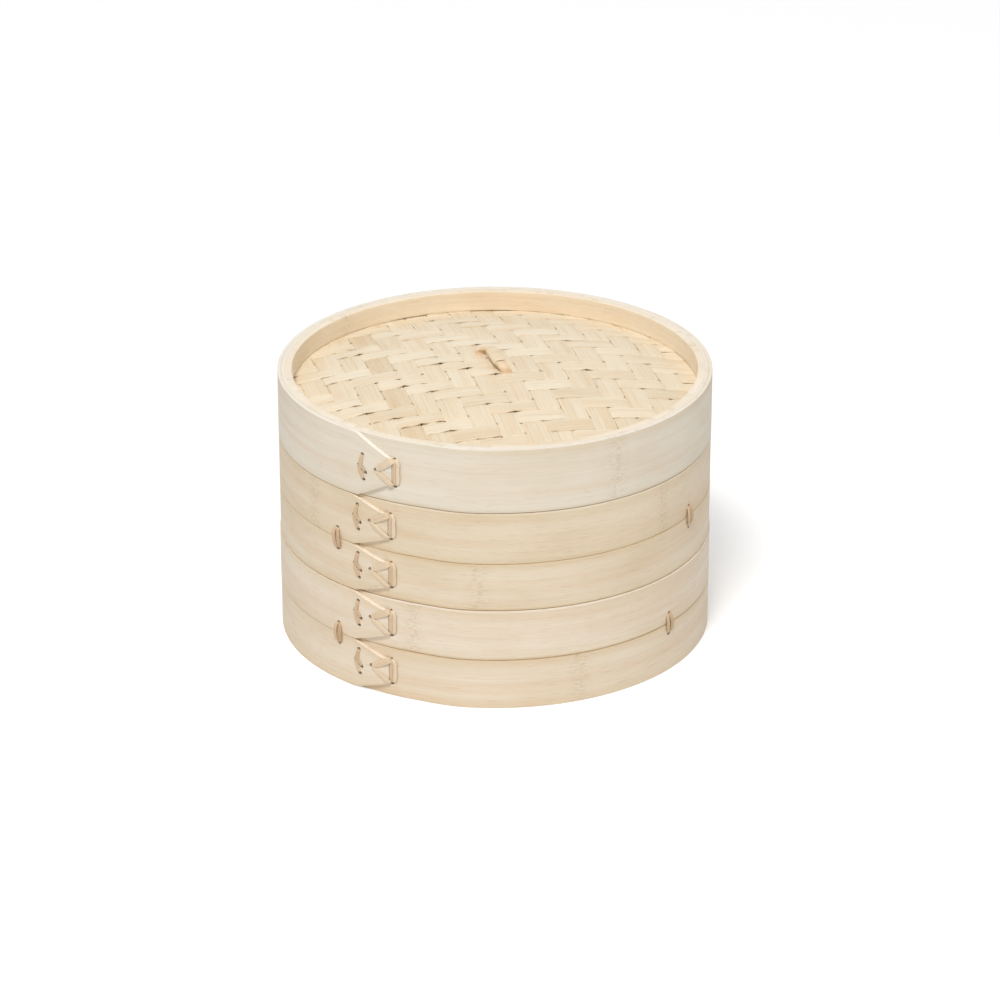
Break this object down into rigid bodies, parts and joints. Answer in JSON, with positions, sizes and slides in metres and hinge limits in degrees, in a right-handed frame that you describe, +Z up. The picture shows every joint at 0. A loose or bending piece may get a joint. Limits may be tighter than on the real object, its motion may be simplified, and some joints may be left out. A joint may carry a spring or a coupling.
{
  "type": "bamboo steamer",
  "caption": "Round bamboo steamer: stacking tiers of laced hoops with slatted floors, and a domed twill-woven lid with a small bound loop handle, for steaming food over a pan.",
  "frame": {"origin": "centre of the base, on the surface that the lower tier stands on", "axes": "+Z up along the steamer's axis, -Y towards the front, near which the hoop ends are laced"},
  "size_m": [0.254, 0.254, 0.1664],
  "materials": {
    "hoop": "planed bamboo strip, satin, pale",
    "liner": "planed bamboo strip, satin, warm",
    "woven": "split bamboo splints in a twill weave",
    "lacing": "thin split bamboo lacing, matt",
    "slat": "split bamboo slats, matt",
    "handle": "bent bamboo strip, satin",
    "binding": "wound bamboo strip, satin"
  },
  "bodies": {
    "lower_tier": {"lower_tier_lower_hoop": "hoop", "lower_tier_upper_hoop": "hoop", "lower_tier_liner": "liner", "lower_tier_skirt_liner": "liner", "lower_tier_lower_stitch": "lacing", "lower_tier_lower_lacing": "lacing", "lower_tier_upper_stitch": "lacing", "lower_tier_upper_lacing": "lacing", "lower_tier_tie_1": "lacing", "lower_tier_tie_2": "lacing", "lower_tier_tie_3": "lacing", "lower_tier_tie_4": "lacing", "lower_tier_front_crossbar": "slat", "lower_tier_rear_crossbar": "slat", "lower_tier_slat_01": "slat", "lower_tier_slat_02": "slat", "lower_tier_slat_03": "slat", "lower_tier_slat_04": "slat", "lower_tier_slat_05": "slat", "lower_tier_slat_06": "slat", "lower_tier_slat_07": "slat", "lower_tier_slat_08": "slat", "lower_tier_slat_09": "slat", "lower_tier_slat_10": "slat", "lower_tier_slat_11": "slat"},
    "upper_tier": {"upper_tier_lower_hoop": "hoop", "upper_tier_upper_hoop": "hoop", "upper_tier_liner": "liner", "upper_tier_skirt_liner": "liner", "upper_tier_lower_stitch": "lacing", "upper_tier_lower_lacing": "lacing", "upper_tier_upper_stitch": "lacing", "upper_tier_upper_lacing": "lacing", "upper_tier_tie_1": "lacing", "upper_tier_tie_2": "lacing", "upper_tier_tie_3": "lacing", "upper_tier_tie_4": "lacing", "upper_tier_front_crossbar": "slat", "upper_tier_rear_crossbar": "slat", "upper_tier_slat_01": "slat", "upper_tier_slat_02": "slat", "upper_tier_slat_03": "slat", "upper_tier_slat_04": "slat", "upper_tier_slat_05": "slat", "upper_tier_slat_06": "slat", "upper_tier_slat_07": "slat", "upper_tier_slat_08": "slat", "upper_tier_slat_09": "slat", "upper_tier_slat_10": "slat", "upper_tier_slat_11": "slat"},
    "lid": {"lid_outer_hoop": "hoop", "lid_upper_ring": "liner", "lid_lower_ring": "liner", "lid_woven_top": "woven", "lid_lining_weave": "woven", "lid_stitch": "lacing", "lid_lacing": "lacing"},
    "handle": {"handle_loop": "handle", "handle_binding": "binding"}
  },
  "joints": [
    {"name": "upper_tier_lift", "type": "slide", "parent": "lower_tier", "child": "upper_tier", "axis": [0, 0, 1], "range_m": [0, 0.1]},
    {"name": "lid_lift", "type": "slide", "parent": "upper_tier", "child": "lid", "axis": [0, 0, 1], "range_m": [0, 0.1]},
    {"name": "handle_draw", "type": "slide", "parent": "lid", "child": "handle", "axis": [0, 0, 1], "range_m": [0, 0.01]}
  ]
}
